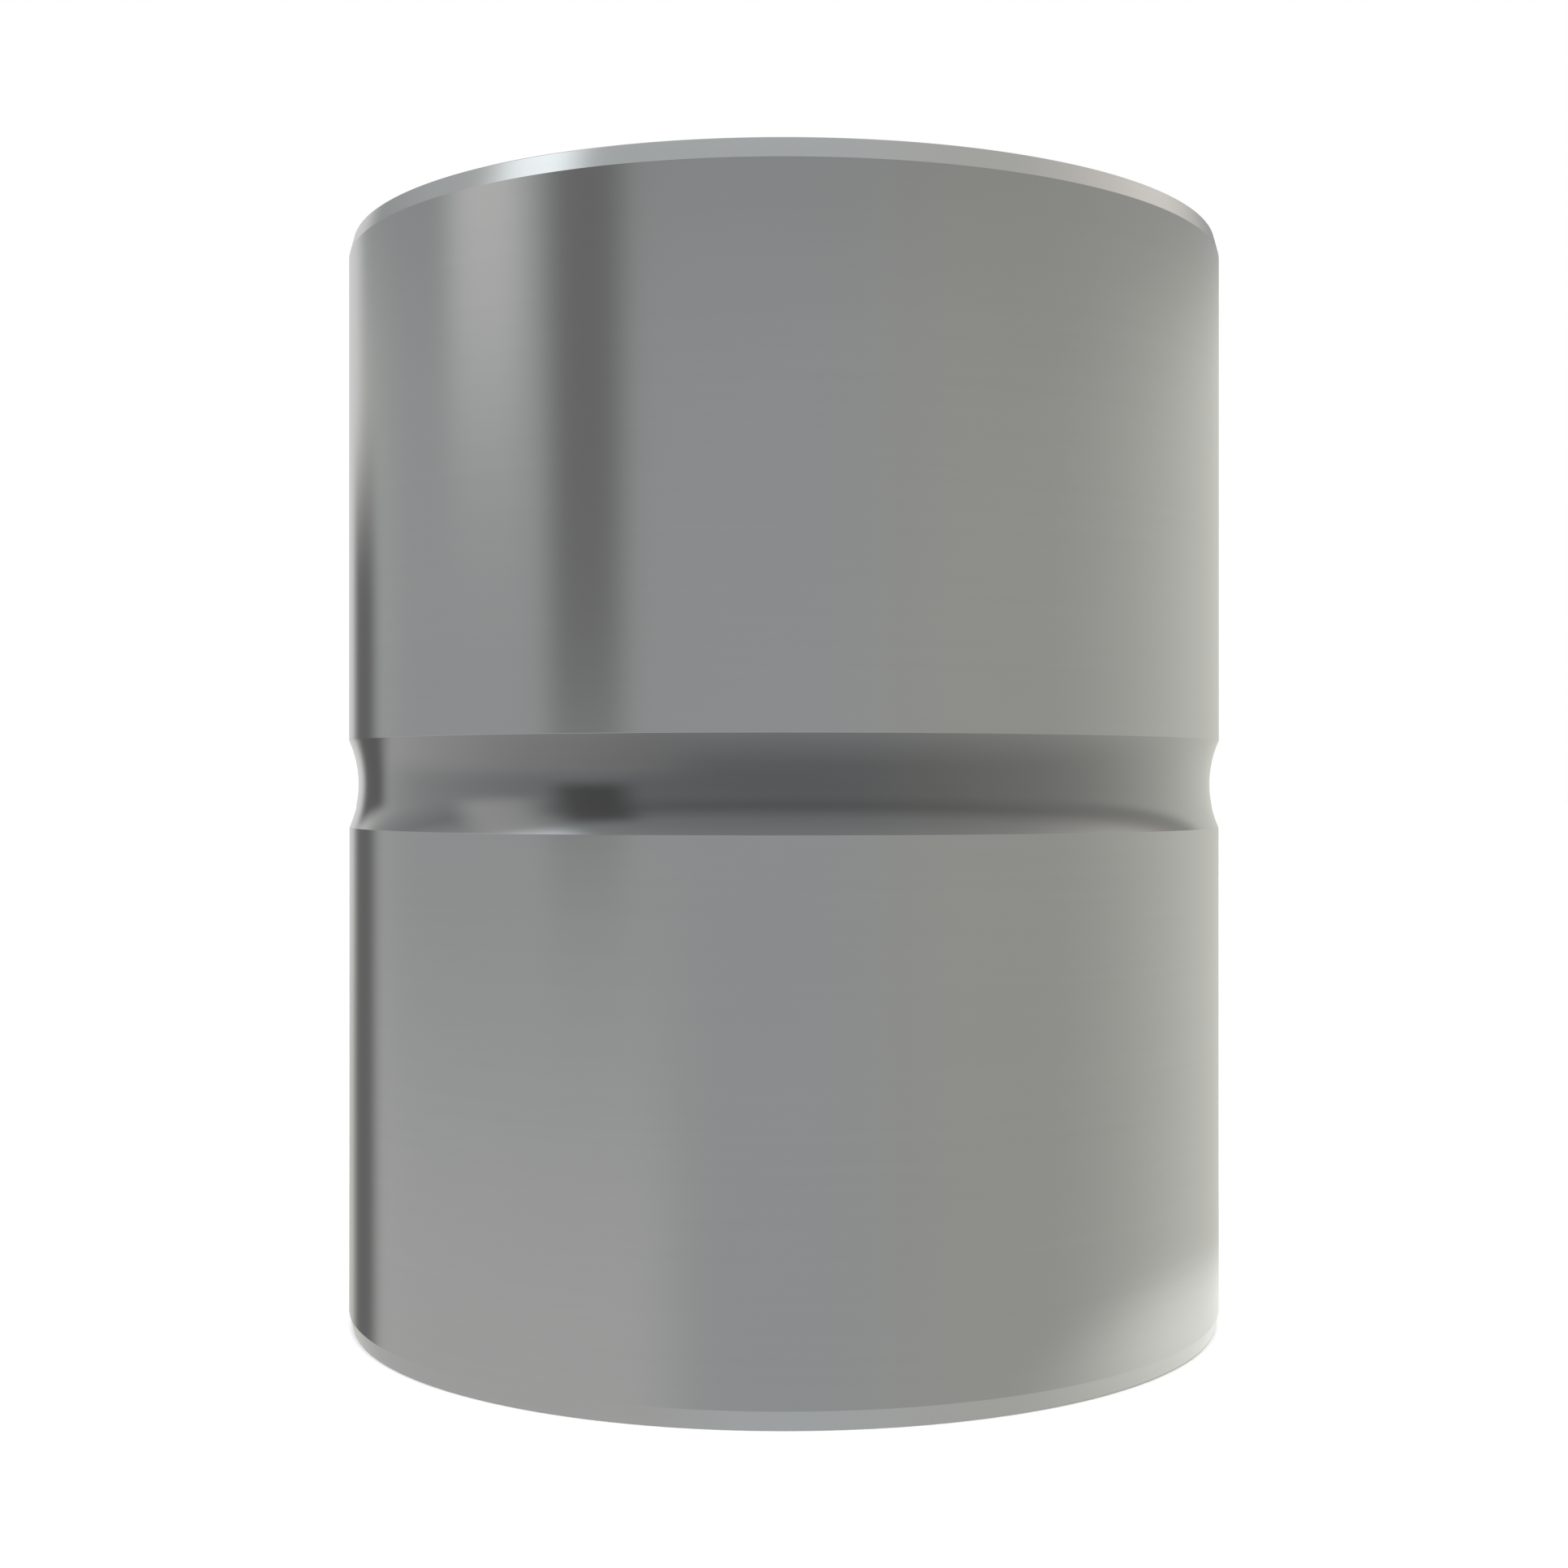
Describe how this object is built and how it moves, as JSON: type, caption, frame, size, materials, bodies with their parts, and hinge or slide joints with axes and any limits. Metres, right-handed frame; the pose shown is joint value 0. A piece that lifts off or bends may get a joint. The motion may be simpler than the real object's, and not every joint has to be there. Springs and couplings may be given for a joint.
{
  "type": "rigid sleeve coupling",
  "caption": "Plain steel sleeve that joins two shafts end to end, with a keyed bore, set screws in each half and a shallow groove round the middle.",
  "frame": {"origin": "centre of the sleeve, on the bore axis half way between the end faces", "axes": "+Z along the bore axis; +Y towards the keyway and the screws over it; +X towards the screws that press on the shaft; the side in the picture faces -Y"},
  "size_m": [0.05, 0.05, 0.0612],
  "materials": {
    "sleeve_steel": "smooth ground steel",
    "screw_steel": "black oxide on alloy steel"
  },
  "bodies": {
    "sleeve": {"sleeve": "sleeve_steel"},
    "key_screw_upper": {"key_screw_upper": "screw_steel"},
    "key_screw_lower": {"key_screw_lower": "screw_steel"},
    "side_screw_upper": {"side_screw_upper": "screw_steel"},
    "side_screw_lower": {"side_screw_lower": "screw_steel"}
  },
  "joints": [
    {"name": "key_screw_upper_travel", "type": "slide", "parent": "sleeve", "child": "key_screw_upper", "axis": [0, -1, 0], "range_m": [-0.00375, 0.00125]},
    {"name": "key_screw_lower_travel", "type": "slide", "parent": "sleeve", "child": "key_screw_lower", "axis": [0, -1, 0], "range_m": [-0.00375, 0.00125]},
    {"name": "side_screw_upper_travel", "type": "slide", "parent": "sleeve", "child": "side_screw_upper", "axis": [-1, 0, 0], "range_m": [-0.0075, 0.00125]},
    {"name": "side_screw_lower_travel", "type": "slide", "parent": "sleeve", "child": "side_screw_lower", "axis": [-1, 0, 0], "range_m": [-0.0075, 0.00125]}
  ]
}
